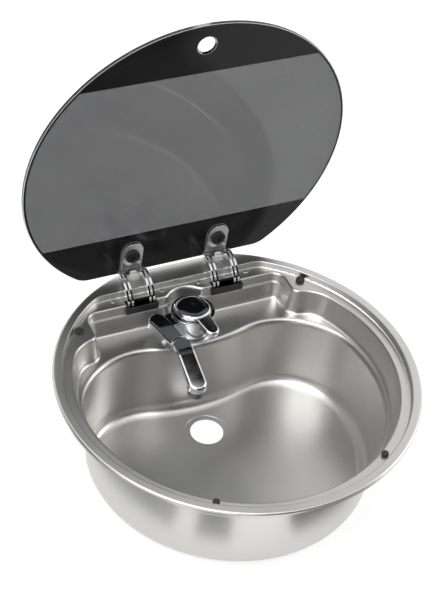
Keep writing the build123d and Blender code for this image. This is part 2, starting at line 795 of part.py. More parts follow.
# Tap body: barrel, side arm with the spout's seat, and threaded shank, in one casting
with BuildPart() as tap_body:
    with BuildSketch(tap_plane.offset(side_bottom)):
        with Locations((side_x, (side_front + side_back) / 2)):
            SlotCenterToCenter(side_back - side_front, 2 * side_half, rotation=90)
    extrude(amount=side_top - side_bottom)
    fillet(level_faces(tap_body, tap_deck_z + side_top).edges(), side_round)
    fillet(level_faces(tap_body, tap_deck_z + side_bottom).edges(), side_foot_round)
    with BuildSketch(tap_plane.offset(lug_top)):
        with Locations((side_x, side_front)):
            Circle(seat_radius)
            Rectangle(2 * seat_radius, 2 * seat_radius, align=(Align.CENTER, Align.MAX))
    extrude(amount=side_top, mode=Mode.SUBTRACT)
    with BuildSketch(tap_plane.offset(neck_bottom)):
        with Locations((side_x, neck_front)):
            Rectangle(neck_inner - side_x, neck_back - neck_front, align=Align.MIN)
    extrude(amount=neck_top - neck_bottom)
    with BuildSketch(upright(tap_plane)):
        with BuildLine():
            Polyline(
                (0, gasket_thickness),
                (barrel_foot, gasket_thickness),
                (barrel_waist, barrel_height - collar_height),
                (barrel_ring, barrel_height - collar_height),
                (barrel_ring, barrel_height),
                (0, barrel_height),
                close=True,
            )
        make_face()
    revolve(axis=Axis(tap_plane.origin, tap_plane.z_dir))
    collar_top = level_faces(tap_body, tap_deck_z + barrel_height)[0]
    fillet(collar_top.edges(), collar_round)
    with BuildSketch(tap_plane.offset(barrel_height)):
        Circle(collar_radius)
    extrude(amount=-(barrel_height - cartridge_top - nut_thickness), mode=Mode.SUBTRACT)
    with BuildSketch(tap_plane.offset(barrel_height)):
        Circle(nut_radius + cartridge_fit)
    extrude(amount=-(barrel_height - cartridge_top), mode=Mode.SUBTRACT)
    with BuildSketch(tap_plane.offset(barrel_height)):
        Circle(cartridge_radius + cartridge_fit)
    extrude(amount=-(barrel_height - cartridge_floor), mode=Mode.SUBTRACT)
    with BuildSketch(tap_plane.offset(gasket_thickness)):
        Circle(shank_radius)
    extrude(amount=-(gasket_thickness + shank_length))
    with BuildSketch(tap_plane.offset(-shank_length)):
        with Locations((-inlet_offset, 0), (inlet_offset, 0)):
            Circle(inlet_radius)
    extrude(amount=inlet_depth, mode=Mode.SUBTRACT)
    with BuildSketch(tap_plane.offset(-shank_length)):
        with Locations((-inlet_offset, 0), (inlet_offset, 0)):
            Circle(waterway_radius)
    extrude(amount=shank_length + cartridge_floor, mode=Mode.SUBTRACT)
    with BuildSketch(tap_plane.offset(side_bottom)):
        with Locations((side_x, side_front)):
            Circle(swivel_radius + turn_gap)
    extrude(amount=lug_top - side_bottom, mode=Mode.SUBTRACT)
save(tap_body, "tap_body")

# Tap fixings: gasket on the deck, washer and nut below it
with BuildPart() as tap_gasket:
    with BuildSketch(tap_plane):
        Circle(barrel_foot)
        Circle(shank_radius, mode=Mode.SUBTRACT)
    extrude(amount=gasket_thickness)
save(tap_gasket, "tap_gasket")

with BuildPart() as tap_clamp_washer:
    with BuildSketch(tap_plane.offset(-sheet)):
        Circle(clamp_radius)
        Circle(shank_radius, mode=Mode.SUBTRACT)
    extrude(amount=-clamp_thickness)
save(tap_clamp_washer, "tap_clamp_washer")

with BuildPart() as tap_lock_nut:
    with BuildSketch(tap_plane.offset(-sheet - clamp_thickness)):
        RegularPolygon(lock_nut_flats / 2, 6, major_radius=False)
        Circle(shank_radius, mode=Mode.SUBTRACT)
    extrude(amount=-lock_nut_height)
save(tap_lock_nut, "tap_lock_nut")

# Mixing cartridge, its ring nut and the spindle that the lever turns
with BuildPart() as cartridge:
    with BuildSketch(tap_plane.offset(cartridge_floor)):
        Circle(cartridge_radius)
    extrude(amount=cartridge_top - cartridge_floor)
    with BuildSketch(tap_plane.offset(cartridge_top)):
        Circle(spindle_radius + turn_gap)
    extrude(amount=-spindle_seat, mode=Mode.SUBTRACT)
save(cartridge, "cartridge")

with BuildPart() as cartridge_nut:
    with BuildSketch(tap_plane.offset(cartridge_top)):
        Circle(nut_radius)
        Circle(nut_eye, mode=Mode.SUBTRACT)
        with PolarLocations(nut_notch_reach, 4):
            Circle(nut_notch, mode=Mode.SUBTRACT)
    extrude(amount=nut_thickness)
save(cartridge_nut, "cartridge_nut")

with BuildPart() as cartridge_spindle:
    with BuildSketch(tap_plane.offset(cartridge_top - spindle_seat + side_gap)):
        Circle(spindle_radius)
    extrude(amount=fork_top - cartridge_top + spindle_seat - side_gap)
    with BuildSketch(tap_plane.offset(fork_slot)):
        Rectangle(2 * (tongue_half + side_gap), 2 * spindle_radius)
    extrude(amount=fork_top - fork_slot, mode=Mode.SUBTRACT)
    with BuildSketch(upright(tap_plane)):
        with Locations((0, lever_pivot)):
            Circle(lever_pin_radius)
    extrude(amount=spindle_radius, both=True, mode=Mode.SUBTRACT)
save(cartridge_spindle, "cartridge_spindle")

with BuildPart() as lever_pin:
    with BuildSketch(upright(tap_plane)):
        with Locations((0, lever_pivot)):
            Circle(lever_pin_radius)
    extrude(amount=spindle_radius, both=True)
save(lever_pin, "lever_pin")

# Lever: thin dome over the barrel, a nose to the front and a tongue down to the pin
nose_end = nose_reach + nose_radius
nose_slope = nose_tip_drop / (nose_end - nose_crest)
dome_inner = dome_radius - dome_wall
tongue_height = dome_top - dome_wall / 2 - lever_pivot
with BuildPart() as tap_lever:
    with BuildSketch(tap_plane.offset(nose_bottom)):
        Circle(nose_root_radius)
        with Locations((0, -nose_reach)):
            Circle(nose_radius)
        make_hull()
    extrude(amount=nose_top - nose_bottom)
    with BuildSketch(upright(tap_plane)):
        with BuildLine():
            Polyline(
                (0, nose_crest_height + nose_slope * nose_crest),
                (-2 * nose_end, nose_crest_height + nose_slope * (nose_crest - 2 * nose_end)),
                (-2 * nose_end, 2 * nose_top),
                (0, 2 * nose_top),
                close=True,
            )
        make_face()
    extrude(amount=2 * nose_root_radius, both=True, mode=Mode.SUBTRACT)
    nose_edges = tap_lever.edges().filter_by(lambda e: tap_local(e).Z > nose_step - 2)
    fillet(nose_edges.filter_by(lambda e: tap_local(e).Y < -nose_root_radius), nose_round)
    with BuildSketch(tap_plane.offset(nose_bottom)):
        Circle(nose_step_radius)
    extrude(amount=nose_step - nose_bottom, mode=Mode.SUBTRACT)
    with BuildSketch(upright(tap_plane)):
        with BuildLine():
            Line((0, dome_top), (0, dome_skirt))
            Line((0, dome_skirt), (dome_radius, dome_skirt))
            Line((dome_radius, dome_skirt), (dome_radius, dome_shoulder))
            Spline((dome_radius, dome_shoulder), (0, dome_top), tangents=((-0.25, 1), (-1, 0)))
        make_face()
    revolve(axis=Axis(tap_plane.origin, tap_plane.z_dir))
    with BuildSketch(upright(tap_plane)):
        with BuildLine():
            Line((0, dome_top - dome_wall), (0, dome_skirt))
            Line((0, dome_skirt), (dome_inner, dome_skirt))
            Line((dome_inner, dome_skirt), (dome_inner, dome_shoulder - dome_wall))
            Spline(
                (dome_inner, dome_shoulder - dome_wall),
                (0, dome_top - dome_wall),
                tangents=((-0.25, 1), (-1, 0)),
            )
        make_face()
    revolve(axis=Axis(tap_plane.origin, tap_plane.z_dir), mode=Mode.SUBTRACT)
    with BuildSketch(upright(tap_plane)):
        with Locations((0, lever_pivot)):
            Circle(tongue_depth)
            Rectangle(2 * tongue_depth, tongue_height, align=(Align.CENTER, Align.MIN))
    extrude(amount=tongue_half, both=True)
    with BuildSketch(upright(tap_plane)):
        with Locations((0, lever_pivot)):
            Circle(lever_pin_radius + turn_gap)
    extrude(amount=tongue_half, both=True, mode=Mode.SUBTRACT)
save(tap_lever, "tap_lever")

# Spout: slim arm that falls to a round nozzle
spout_end = spout_reach + spout_tip_radius
with BuildPart() as spout:
    with BuildSketch(spout_plane.offset(spout_foot)):
        Circle(side_half)
        with Locations((0, -spout_reach)):
            Circle(spout_tip_radius)
        make_hull()
    extrude(amount=side_top - spout_foot)
    with BuildSketch(upright(spout_plane)):
        with BuildLine():
            Polyline(
                (2 * side_half, spout_underside),
                (-spout_level, spout_underside),
                (-spout_reach, spout_tip_underside),
                (-spout_end - 1, spout_tip_underside),
                (-spout_end - 1, side_top - spout_fall * (spout_end + 1 - spout_crest)),
                (-spout_crest, side_top),
                (2 * side_half, side_top),
                close=True,
            )
        face = make_face()
        crest = face.vertices().filter_by(lambda v: abs(v.X + spout_crest) < 0.01)
        fillet(crest, spout_bend)
    extrude(amount=2 * side_half, both=True, mode=Mode.INTERSECT)
    with BuildSketch(spout_plane.offset(spout_foot)):
        with Locations((0, -spout_reach)):
            Circle(spout_tip_radius)
    extrude(amount=spout_tip_underside - spout_foot + 1)
    upper_edges = spout.edges().filter_by(
        lambda e: spout_height(e.center()) > spout_top_at(e.center()) - 1
    )
    fillet(upper_edges, spout_round)
    with BuildSketch(spout_plane.offset(spout_foot)):
        with Locations((0, -spout_reach)):
            Circle(aerator_thread)
    extrude(amount=aerator_thread_height, mode=Mode.SUBTRACT)
    with BuildSketch(spout_plane.offset(spout_underside)):
        Circle(swivel_radius)
    extrude(amount=swivel_top - spout_underside, mode=Mode.SUBTRACT)
save(spout, "spout")

with BuildPart() as spout_ring:
    with BuildSketch(spout_plane.offset(lug_top + ring_gap)):
        Circle(ring_outer)
        Circle(ring_inner, mode=Mode.SUBTRACT)
    extrude(amount=spout_underside - lug_top - ring_gap)
save(spout_ring, "spout_ring")

# Spout screw: shoulder screw from below, fixed in the spout and turning in the tap body's lug
with BuildPart() as spout_screw:
    with BuildSketch(spout_plane.offset(side_bottom - side_gap)):
        Circle(swivel_head)
    extrude(amount=-swivel_head_height)
    with BuildSketch(spout_plane.offset(side_bottom - side_gap)):
        Circle(swivel_radius)
    extrude(amount=swivel_top - side_bottom + side_gap)
    with BuildSketch(spout_plane.offset(side_bottom - side_gap - swivel_head_height)):
        RegularPolygon(swivel_socket, 6)
    extrude(amount=swivel_socket_depth, mode=Mode.SUBTRACT)
save(spout_screw, "spout_screw")

# Aerator: dark nozzle screwed into the spout's tip, with a strainer in its mouth
with BuildPart() as aerator:
    with BuildSketch(spout_plane.offset(spout_foot)):
        with Locations((0, -spout_reach)):
            Circle(aerator_radius)
    extrude(amount=-aerator_height)
    fillet(level_faces(aerator, tap_deck_z + spout_foot - aerator_height).edges(), aerator_round)
    with BuildSketch(spout_plane.offset(spout_foot)):
        with Locations((0, -spout_reach)):
            Circle(aerator_thread)
    extrude(amount=aerator_thread_height)
    with BuildSketch(spout_plane.offset(spout_foot - aerator_height)):
        with Locations((0, -spout_reach)):
            Circle(aerator_mouth)
    extrude(amount=aerator_mouth_depth, mode=Mode.SUBTRACT)
    with BuildSketch(spout_plane.offset(spout_foot + aerator_thread_height)):
        with Locations((0, -spout_reach)):
            Circle(aerator_bore)
    extrude(amount=-aerator_height, mode=Mode.SUBTRACT)
save(aerator, "aerator")

with BuildPart() as aerator_insert:
    with BuildSketch(spout_plane.offset(spout_foot - aerator_height + strainer_inset)):
        with Locations((0, -spout_reach)):
            Circle(aerator_mouth)
            with HexLocations(strainer_spacing / 2, 5, 5):
                Circle(strainer_hole, mode=Mode.SUBTRACT)
    extrude(amount=strainer_thickness)
save(aerator_insert, "aerator_insert")
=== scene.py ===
from math import atan2, cos, pi, radians, sin, sqrt

import bpy
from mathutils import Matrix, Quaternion, Vector


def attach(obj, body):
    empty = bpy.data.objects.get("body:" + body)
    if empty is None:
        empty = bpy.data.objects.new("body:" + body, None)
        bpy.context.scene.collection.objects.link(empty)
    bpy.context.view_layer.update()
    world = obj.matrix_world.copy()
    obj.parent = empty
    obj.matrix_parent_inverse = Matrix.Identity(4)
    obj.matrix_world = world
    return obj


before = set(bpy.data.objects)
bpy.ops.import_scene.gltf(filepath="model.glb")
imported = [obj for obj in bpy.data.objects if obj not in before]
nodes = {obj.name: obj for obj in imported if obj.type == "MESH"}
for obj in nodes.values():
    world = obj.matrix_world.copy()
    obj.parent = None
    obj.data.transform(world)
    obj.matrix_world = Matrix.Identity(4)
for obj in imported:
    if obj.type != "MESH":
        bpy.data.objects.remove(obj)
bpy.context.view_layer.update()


# ---- Studio -------------------------------------------------------------------------------------
# A white floor and white surroundings, with soft lamps above and beside the object. Dark and grey cards
# are seen in the metal alone, so that it has something to reflect, as in a photographer's tent.

def new_material(name):
    """Material with an empty node tree: (material, nodes, links)."""
    material = bpy.data.materials.new(name)
    material.use_nodes = True
    material.node_tree.nodes.clear()
    return material, material.node_tree.nodes, material.node_tree.links


def white_rays(tree, links):
    """1 where the surroundings are seen, straight or in or through the object, and 0 where they only give light."""
    path = tree.new("ShaderNodeLightPath")
    straight = tree.new("ShaderNodeMath")
    straight.operation = "MAXIMUM"
    links.new(path.outputs["Is Camera Ray"], straight.inputs[0])
    links.new(path.outputs["Is Transmission Ray"], straight.inputs[1])
    seen = tree.new("ShaderNodeMath")
    seen.operation = "MAXIMUM"
    links.new(straight.outputs[0], seen.inputs[0])
    links.new(path.outputs["Is Glossy Ray"], seen.inputs[1])
    return seen.outputs[0]


def stage_plane(name, centre, facing, width, height, material):
    """Flat stage piece that faces a point."""
    mesh = bpy.data.meshes.new(name)
    half_w, half_h = width / 2, height / 2
    corners = [(-half_w, -half_h, 0), (half_w, -half_h, 0), (half_w, half_h, 0), (-half_w, half_h, 0)]
    mesh.from_pydata(corners, [], [(0, 1, 2, 3)])
    mesh.materials.append(material)
    piece = bpy.data.objects.new(name, mesh)
    piece.location = centre
    piece.rotation_euler = (Vector(facing) - Vector(centre)).to_track_quat("Z", "Y").to_euler()
    bpy.context.scene.collection.objects.link(piece)
    return piece


floor_side = 14
aim_point = (0, 0, 0.1)
floor_white, tree, links = new_material("white_floor")
floor_face = tree.new("ShaderNodeBsdfDiffuse")
floor_face.inputs["Color"].default_value = (0.78, 0.78, 0.78, 1)
floor_glow = tree.new("ShaderNodeEmission")
floor_glow.inputs["Color"].default_value = (1, 1, 1, 1)
floor_glow.inputs["Strength"].default_value = 0.55
floor_lifted = tree.new("ShaderNodeAddShader")
links.new(floor_face.outputs[0], floor_lifted.inputs[0])
links.new(floor_glow.outputs[0], floor_lifted.inputs[1])
floor_choice = tree.new("ShaderNodeMixShader")
links.new(white_rays(tree, links), floor_choice.inputs[0])
links.new(floor_face.outputs[0], floor_choice.inputs[1])
links.new(floor_lifted.outputs[0], floor_choice.inputs[2])
out = tree.new("ShaderNodeOutputMaterial")
links.new(floor_choice.outputs[0], out.inputs["Surface"])
stage_plane("floor", (0, 0, -0.0005), (0, 0, 1), floor_side, floor_side, floor_white)


def only_reflected(piece):
    """A card is seen in the metal alone: it hides nothing, and throws no shade."""
    piece.visible_camera = False
    piece.visible_diffuse = False
    piece.visible_shadow = False


def card_material(shade):
    """Evenly lit card of a grey shade."""
    material, tree, links = new_material(f"card_{round(shade * 100):02d}")
    face = tree.new("ShaderNodeEmission")
    face.inputs["Color"].default_value = (shade, shade, shade, 1)
    out = tree.new("ShaderNodeOutputMaterial")
    links.new(face.outputs[0], out.inputs["Surface"])
    return material


card_black = card_material(0.01)
for name, place, width, height in (
    ("card_left", (-1.5, 0.5, 0.7), 1.2, 1.6),
    ("card_front", (0.6, -1.5, 1.1), 2.6, 1.8),
    ("card_top", (0.66, 0.62, 1.75), 0.6, 0.5),
):
    only_reflected(stage_plane(name, place, aim_point, width, height, card_black))

# Grey cards on the floor, each a sector round the bowl. The white left between them makes bright streaks.
sector_near, sector_far = 0.205, 0.75
sector_height = 0.001
sector_steps = 12
for name, start, end, shade in (
    ("sector_left", -196, -140, 0.40),
    ("sector_middle", -130, -114, 0.28),
    ("sector_right", -86, -50, 0.10),
):
    mesh = bpy.data.meshes.new(name)
    turns = [radians(start + (end - start) * step / sector_steps) for step in range(sector_steps + 1)]
    corners = []
    for distance in (sector_near, sector_far):
        corners += [(distance * cos(turn), distance * sin(turn), sector_height) for turn in turns]
    outer = sector_steps + 1
    faces = [(step, step + outer, step + outer + 1, step + 1) for step in range(sector_steps)]
    mesh.from_pydata(corners, [], faces)
    mesh.materials.append(card_material(shade))
    sector = bpy.data.objects.new(name, mesh)
    bpy.context.scene.collection.objects.link(sector)
    only_reflected(sector)

world = bpy.data.worlds.new("studio")
bpy.context.scene.world = world
world.use_nodes = True
tree, links = world.node_tree.nodes, world.node_tree.links
tree.clear()
air_light = tree.new("ShaderNodeBackground")
air_light.inputs["Color"].default_value = (1, 1, 1, 1)
air_light.inputs["Strength"].default_value = 0.55
air_white = tree.new("ShaderNodeBackground")
air_white.inputs["Color"].default_value = (1, 1, 1, 1)
air_white.inputs["Strength"].default_value = 1.0
air_choice = tree.new("ShaderNodeMixShader")
links.new(white_rays(tree, links), air_choice.inputs[0])
links.new(air_light.outputs[0], air_choice.inputs[1])
links.new(air_white.outputs[0], air_choice.inputs[2])
out = tree.new("ShaderNodeOutputWorld")
links.new(air_choice.outputs[0], out.inputs["Surface"])


def soft_lamp(name, place, aim, size, watts):
    """Square soft lamp at a place, turned to an aim point."""
    light = bpy.data.lights.new(name, "AREA")
    light.size = size
    light.energy = watts
    lamp = bpy.data.objects.new(name, light)
    lamp.location = place
    lamp.rotation_euler = (Vector(aim) - Vector(place)).to_track_quat("-Z", "Y").to_euler()
    bpy.context.scene.collection.objects.link(lamp)


soft_lamp("overhead_lamp", (-0.6, -0.3, 2.2), aim_point, 1.4, 24)
soft_lamp("side_lamp", (1.9, -0.4, 1.3), aim_point, 1.0, 9)

# The camera stands front left and above, at the angle, roll and lens of the photograph.
camera_azimuth = radians(-29.69)
camera_height = radians(41.26)
camera_roll = radians(7.51)
camera_place = Vector((-0.6565, -1.0923, 1.3629))
film_side = 36.0
focus_length = 94.95
camera_data = bpy.data.cameras.new("view")
camera_data.sensor_width = film_side
camera_data.lens = focus_length
camera_data.clip_end = 50
level = cos(camera_height)
forward = Vector((-sin(camera_azimuth) * level, cos(camera_azimuth) * level, -sin(camera_height)))
camera = bpy.data.objects.new("view", camera_data)
camera.rotation_mode = "QUATERNION"
camera.rotation_quaternion = forward.to_track_quat("-Z", "Y") @ Quaternion((0, 0, 1), camera_roll)
camera.location = camera_place
bpy.context.scene.collection.objects.link(camera)
bpy.context.scene.camera = camera
bpy.context.scene.view_settings.view_transform = "Standard"


# ---- Sink bowl ----------------------------------------------------------------------------------
# One pressing of 1 mm stainless sheet with a satin skin: rim, lid ledge, hinge deck, tap deck and
# bowl. Drawing the sheet leaves soft clouds and fine lines in it. Its edges are painted brighter, partly as wear
# from use and partly as a painted highlight.

def new_group(name, inputs, outputs):
    """Shader group with float inputs (name: value) and outputs (name: kind), and its two end nodes."""
    group = bpy.data.node_groups.new(name, "ShaderNodeTree")
    for label, value in inputs.items():
        group.interface.new_socket(label, in_out="INPUT", socket_type="NodeSocketFloat").default_value = value
    for label, kind in outputs.items():
        group.interface.new_socket(label, in_out="OUTPUT", socket_type="NodeSocket" + kind)
    return group, group.nodes.new("NodeGroupInput"), group.nodes.new("NodeGroupOutput")


def put_group(tree, group, values):
    """Group placed in a material, with its own values."""
    node = tree.new("ShaderNodeGroup")
    node.node_tree = group
    for label, value in values.items():
        node.inputs[label].default_value = value
    return node


def spread(tree, links, source, from_low, from_high, low, high):
    """A value is spread from one range to another, and held at its ends."""
    node = tree.new("ShaderNodeMapRange")
    node.inputs["From Min"].default_value = from_low
    node.inputs["From Max"].default_value = from_high
    node.inputs["To Min"].default_value = low
    node.inputs["To Max"].default_value = high
    links.new(source, node.inputs["Value"])
    return node.outputs["Result"]


def blend(tree, links, factor, first, second):
    """Colour that fades from a first to a second, each a colour or a socket."""
    node = tree.new("ShaderNodeMix")
    node.data_type = "RGBA"
    links.new(factor, node.inputs["Factor"])
    for socket, value in ((node.inputs["A"], first), (node.inputs["B"], second)):
        if isinstance(value, tuple):
            socket.default_value = (*value, 1)
        else:
            links.new(value, socket)
    return node.outputs["Result"]


# Wear and painted highlight: cloudy unevenness, fine grain that may be drawn out along one axis, and the line of
# edges, which is partly worn and partly a painted highlight.
wear_and_highlight, wear_and_highlight_in, wear_and_highlight_out = new_group(
    "surface_wear_and_edge_highlight",
    {"Cloud Scale": 12.0, "Grain Scale": 900.0, "Draw X": 1.0, "Draw Y": 1.0, "Draw Z": 1.0, "Edge": 0.0006},
    {"Cloud": "Float", "Grain": "Float", "Edge": "Float", "Normal": "Vector"},
)
tree, links = wear_and_highlight.nodes, wear_and_highlight.links
coords = tree.new("ShaderNodeTexCoord")
cloud = tree.new("ShaderNodeTexNoise")
cloud.inputs["Detail"].default_value = 4.0
links.new(coords.outputs["Object"], cloud.inputs["Vector"])
links.new(wear_and_highlight_in.outputs["Cloud Scale"], cloud.inputs["Scale"])
links.new(spread(tree, links, cloud.outputs["Fac"], 0.3, 0.7, 0.0, 1.0), wear_and_highlight_out.inputs["Cloud"])
draw = tree.new("ShaderNodeCombineXYZ")
for axis in "XYZ":
    links.new(wear_and_highlight_in.outputs[f"Draw {axis}"], draw.inputs[axis])
drawn = tree.new("ShaderNodeVectorMath")
drawn.operation = "MULTIPLY"
links.new(coords.outputs["Object"], drawn.inputs[0])
links.new(draw.outputs[0], drawn.inputs[1])
grain = tree.new("ShaderNodeTexNoise")
grain.inputs["Detail"].default_value = 3.0
links.new(drawn.outputs[0], grain.inputs["Vector"])
links.new(wear_and_highlight_in.outputs["Grain Scale"], grain.inputs["Scale"])
links.new(grain.outputs["Fac"], wear_and_highlight_out.inputs["Grain"])
rounded = tree.new("ShaderNodeBevel")
rounded.samples = 4
links.new(wear_and_highlight_in.outputs["Edge"], rounded.inputs["Radius"])
flat = tree.new("ShaderNodeNewGeometry")
turned = tree.new("ShaderNodeVectorMath")
turned.operation = "DOT_PRODUCT"
links.new(rounded.outputs[0], turned.inputs[0])
links.new(flat.outputs["Normal"], turned.inputs[1])
# Edge mask: where the rounded normal turns away from the flat one. The materials paint this line lighter, partly as
# wear and partly as a painted highlight.
edge = spread(tree, links, turned.outputs["Value"], 0.99, 0.80, 0.0, 1.0)
rubbed_and_highlit = tree.new("ShaderNodeMath")
rubbed_and_highlit.operation = "MULTIPLY"
links.new(edge, rubbed_and_highlit.inputs[0])
links.new(spread(tree, links, cloud.outputs["Fac"], 0.35, 0.6, 0.4, 1.0), rubbed_and_highlit.inputs[1])
links.new(rubbed_and_highlit.outputs[0], wear_and_highlight_out.inputs["Edge"])
links.new(rounded.outputs[0], wear_and_highlight_out.inputs["Normal"])


def finish(name, colors, roughness, grain_depth, metallic=0.0, **values):
    """Material worn over its surface, with a painted highlight on its edges: colours and roughness are each (plain,
    clouded, worn edge with a painted highlight).
    """
    material, tree, links = new_material(name)
    shader = tree.new("ShaderNodeBsdfPrincipled")
    shader.inputs["Metallic"].default_value = metallic
    settings = {label.replace("_", " "): value for label, value in values.items()}
    wear_and_highlight_node = put_group(tree, wear_and_highlight, settings)
    clouded = blend(tree, links, wear_and_highlight_node.outputs["Cloud"], colors[0], colors[1])
    # The edge colour is lighter than the plain one: partly wear, partly a painted highlight.
    links.new(blend(tree, links, wear_and_highlight_node.outputs["Edge"], clouded, colors[2]), shader.inputs["Base Color"])
    uneven = spread(tree, links, wear_and_highlight_node.outputs["Cloud"], 0.0, 1.0, roughness[0], roughness[1])
    edged = tree.new("ShaderNodeMix")
    edged.inputs["B"].default_value = roughness[2]
    links.new(wear_and_highlight_node.outputs["Edge"], edged.inputs["Factor"])
    links.new(uneven, edged.inputs["A"])
    links.new(edged.outputs["Result"], shader.inputs["Roughness"])
    relief = tree.new("ShaderNodeBump")
    relief.inputs["Distance"].default_value = grain_depth
    links.new(wear_and_highlight_node.outputs["Grain"], relief.inputs["Height"])
    links.new(wear_and_highlight_node.outputs["Normal"], relief.inputs["Normal"])
    links.new(relief.outputs[0], shader.inputs["Normal"])
    out = tree.new("ShaderNodeOutputMaterial")
    links.new(shader.outputs[0], out.inputs["Surface"])
    return material


def dress(material, *names):
    """CAD nodes are shown in a material."""
    for name in names:
        for slot in nodes[name].material_slots:
            slot.material = material


satin_steel = finish(
    "satin_steel",
    colors=((0.60, 0.595, 0.58), (0.66, 0.655, 0.64), (0.72, 0.715, 0.70)),
    roughness=(0.31, 0.37, 0.28),
    grain_depth=0.00001,
    metallic=1.0,
    Cloud_Scale=9.0,
    Grain_Scale=900.0,
    Draw_X=0.2,
    Edge=0.0012,
)
dress(satin_steel, "sink_bowl")


# ---- Worktop seal -------------------------------------------------------------------------------
# A closed-cell foam ring stuck under the rim. The rim is pulled down on it when the sink is fitted.

cell_foam = finish(
    "cell_foam",
    colors=((0.03, 0.03, 0.032), (0.05, 0.05, 0.052), (0.07, 0.07, 0.07)),
    roughness=(0.8, 0.95, 0.9),
    grain_depth=0.0003,
    Cloud_Scale=60.0,
    Grain_Scale=1400.0,
)
dress(cell_foam, "worktop_seal")


# ---- Lid buffers --------------------------------------------------------------------------------
# Four black rubber plugs pushed into holes in the ledge, so that the glass never lies on the steel.

plug_rubber = finish(
    "plug_rubber",
    colors=((0.018, 0.018, 0.018), (0.03, 0.03, 0.029), (0.06, 0.06, 0.058)),
    roughness=(0.6, 0.75, 0.7),
    grain_depth=0.00004,
    Cloud_Scale=200.0,
    Grain_Scale=2500.0,
    Edge=0.0005,
)
dress(plug_rubber, "lid_buffers")


# ---- Lid ----------------------------------------------------------------------------------------
# A D-shaped pane of smoke-grey toughened glass with a ground edge and a drilled finger hole.
# Its underside is printed with fired black enamel: two bands, a border and a screen of dots.

lid_turn = radians(84.4)
hinge_y, hinge_z = 0.1817, 0.1185
closed_edge_y, closed_under_z = 0.1594, 0.132
pane_radius = 0.197
pane_centre = 0.1594
pane_corner = 0.027
back_y, lift_z = closed_edge_y - hinge_y, closed_under_z - hinge_z
# The pane's own axes at rest: x, then s from the straight edge to the front, and w out of the underside.
pane_s = Vector((0, -cos(lid_turn), sin(lid_turn)))
pane_w = Vector((0, -sin(lid_turn), -cos(lid_turn)))
pane_origin = Vector((
    0,
    hinge_y + back_y * cos(lid_turn) + lift_z * sin(lid_turn),
    hinge_z - back_y * sin(lid_turn) + lift_z * cos(lid_turn),
))

# Where a point of the pane lies: along s, and how far from the centre of its round edge.
pane_map, map_in, map_out = new_group("pane_map", {}, {"X": "Float", "S": "Float", "Radius": "Float"})
tree, links = pane_map.nodes, pane_map.links
coords = tree.new("ShaderNodeTexCoord")
moved = tree.new("ShaderNodeVectorMath")
moved.operation = "SUBTRACT"
moved.inputs[1].default_value = pane_origin
links.new(coords.outputs["Object"], moved.inputs[0])
axes = tree.new("ShaderNodeSeparateXYZ")
links.new(moved.outputs[0], axes.inputs[0])
links.new(axes.outputs["X"], map_out.inputs["X"])
up_pane = tree.new("ShaderNodeVectorMath")
up_pane.operation = "DOT_PRODUCT"
up_pane.inputs[1].default_value = pane_s
links.new(moved.outputs[0], up_pane.inputs[0])
links.new(up_pane.outputs["Value"], map_out.inputs["S"])
from_centre = tree.new("ShaderNodeMath")
from_centre.operation = "SUBTRACT"
from_centre.inputs[1].default_value = pane_centre
links.new(up_pane.outputs["Value"], from_centre.inputs[0])
flat_place = tree.new("ShaderNodeCombineXYZ")
links.new(axes.outputs["X"], flat_place.inputs["X"])
links.new(from_centre.outputs[0], flat_place.inputs["Y"])
reach = tree.new("ShaderNodeVectorMath")
reach.operation = "LENGTH"
links.new(flat_place.outputs[0], reach.inputs[0])
links.new(reach.outputs["Value"], map_out.inputs["Radius"])


def largest(tree, links, sources):
    """Largest of several values."""
    result = sources[0]
    for source in sources[1:]:
        node = tree.new("ShaderNodeMath")
        node.operation = "MAXIMUM"
        links.new(result, node.inputs[0])
        links.new(source, node.inputs[1])
        result = node.outputs[0]
    return result


smoke_glass, tree, links = new_material("smoke_glass")
shader = tree.new("ShaderNodeBsdfPrincipled")
shader.inputs["Transmission Weight"].default_value = 1.0
shader.inputs["IOR"].default_value = 1.5
place = put_group(tree, pane_map, {})
ground_start, ground_full = 0.0012, 0.0006
arc_start, arc_full = pane_radius - ground_start, pane_radius - ground_full
ground_arc = spread(tree, links, place.outputs["Radius"], arc_start, arc_full, 0.0, 1.0)
ground_straight = spread(tree, links, place.outputs["S"], ground_start, ground_full, 0.0, 1.0)
ground = largest(tree, links, (ground_arc, ground_straight))
wear_and_highlight_node = put_group(tree, wear_and_highlight, {"Cloud Scale": 14.0, "Grain Scale": 3000.0, "Edge": 0.0004})
tinted = blend(tree, links, wear_and_highlight_node.outputs["Cloud"], (0.29, 0.292, 0.298), (0.32, 0.322, 0.328))
links.new(blend(tree, links, ground, tinted, (0.85, 0.87, 0.88)), shader.inputs["Base Color"])
wiped = spread(tree, links, wear_and_highlight_node.outputs["Cloud"], 0.0, 1.0, 0.0, 0.03)
frosted = tree.new("ShaderNodeMix")
frosted.inputs["B"].default_value = 0.4
links.new(ground, frosted.inputs["Factor"])
links.new(wiped, frosted.inputs["A"])
links.new(frosted.outputs["Result"], shader.inputs["Roughness"])
links.new(wear_and_highlight_node.outputs["Normal"], shader.inputs["Normal"])
out = tree.new("ShaderNodeOutputMaterial")
links.new(shader.outputs[0], out.inputs["Surface"])
dress(smoke_glass, "lid_glass")

print_inset = 0.0011
print_clear = 0.00002
print_thickness = 0.0001
tab_clear = 0.0133
tab_round_s = 0.037
hinge_places = (-0.0555, 0.0555)
finger_s = 0.329
finger_clear = 0.0118


def circle_points(centre_x, centre_s, radius, start, end, steps):
    """Points on an arc, as (x, s)."""
    turns = [start + (end - start) * step / steps for step in range(steps + 1)]
    return [(centre_x + radius * cos(turn), centre_s + radius * sin(turn)) for turn in turns]


